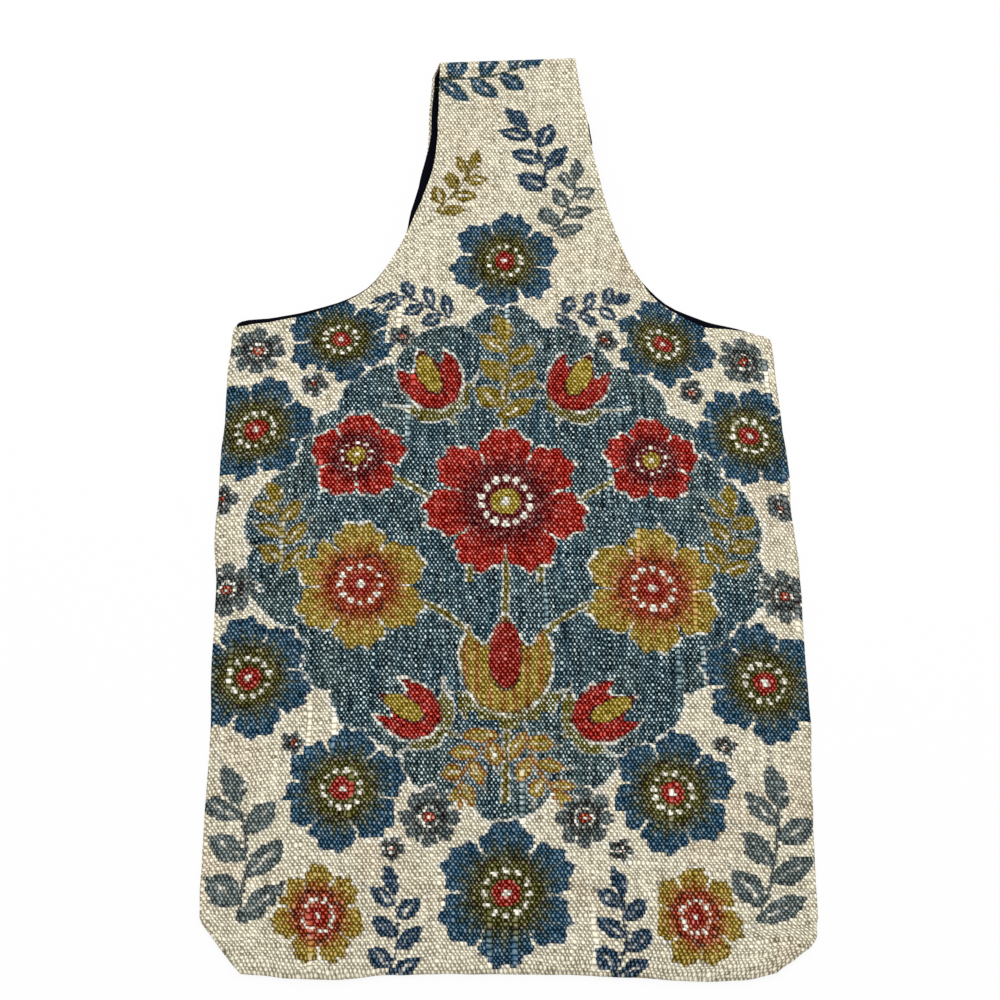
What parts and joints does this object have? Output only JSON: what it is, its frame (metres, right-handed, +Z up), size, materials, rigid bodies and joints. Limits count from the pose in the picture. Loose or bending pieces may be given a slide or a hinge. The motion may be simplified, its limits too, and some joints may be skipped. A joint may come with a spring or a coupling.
{
  "type": "lined cloth strap bag",
  "caption": "Flat lined cloth bag with swept mouth edges and a wide strap folded into a loop, shown lying on its back.",
  "frame": {"origin": "bottom centre of the bag's box as it lies on its back, on the surface that it lies on", "axes": "+Z up out of the bag's front, +Y from the bottom seam towards the strap, +X to the right of the front"},
  "size_m": [0.23, 0.409, 0.0134],
  "materials": {
    "printed_cloth": "coarse plain-weave cloth with a printed floral in slate, navy, olive and rust on oatmeal",
    "lining_cloth": "plain dark navy cotton, fine weave, matt",
    "cream_thread": "matt sewing thread",
    "navy_thread": "matt sewing thread"
  },
  "bodies": {
    "bag": {"outer_back_panel": "printed_cloth", "lining_back_panel": "lining_cloth", "lining_front_panel": "lining_cloth", "outer_front_panel": "printed_cloth", "outer_side_seam_left": "cream_thread", "outer_corner_seam_left": "cream_thread", "outer_side_seam_right": "cream_thread", "outer_corner_seam_right": "cream_thread", "outer_bottom_seam": "cream_thread", "lining_side_seam_left": "navy_thread", "lining_corner_seam_left": "navy_thread", "lining_side_seam_right": "navy_thread", "lining_corner_seam_right": "navy_thread", "lining_bottom_seam_left": "navy_thread", "lining_bottom_seam_right": "navy_thread", "lining_turning_stitch": "navy_thread", "mouth_seam_front_left": "navy_thread", "mouth_seam_back_left": "navy_thread", "mouth_seam_front_right": "navy_thread", "mouth_seam_back_right": "navy_thread"},
    "strap": {"outer_front_strap": "printed_cloth", "outer_back_strap": "printed_cloth", "lining_front_strap": "lining_cloth", "lining_back_strap": "lining_cloth", "strap_edge_seam_left": "navy_thread", "strap_edge_seam_right": "navy_thread", "outer_strap_join": "cream_thread", "lining_strap_join": "navy_thread"}
  },
  "joints": [
    {"name": "strap_fold", "type": "hinge", "parent": "bag", "child": "strap", "pos_m": [0, 0.1145, 0.0092], "axis": [1, 0, 0], "range_deg": [0, 165]}
  ]
}
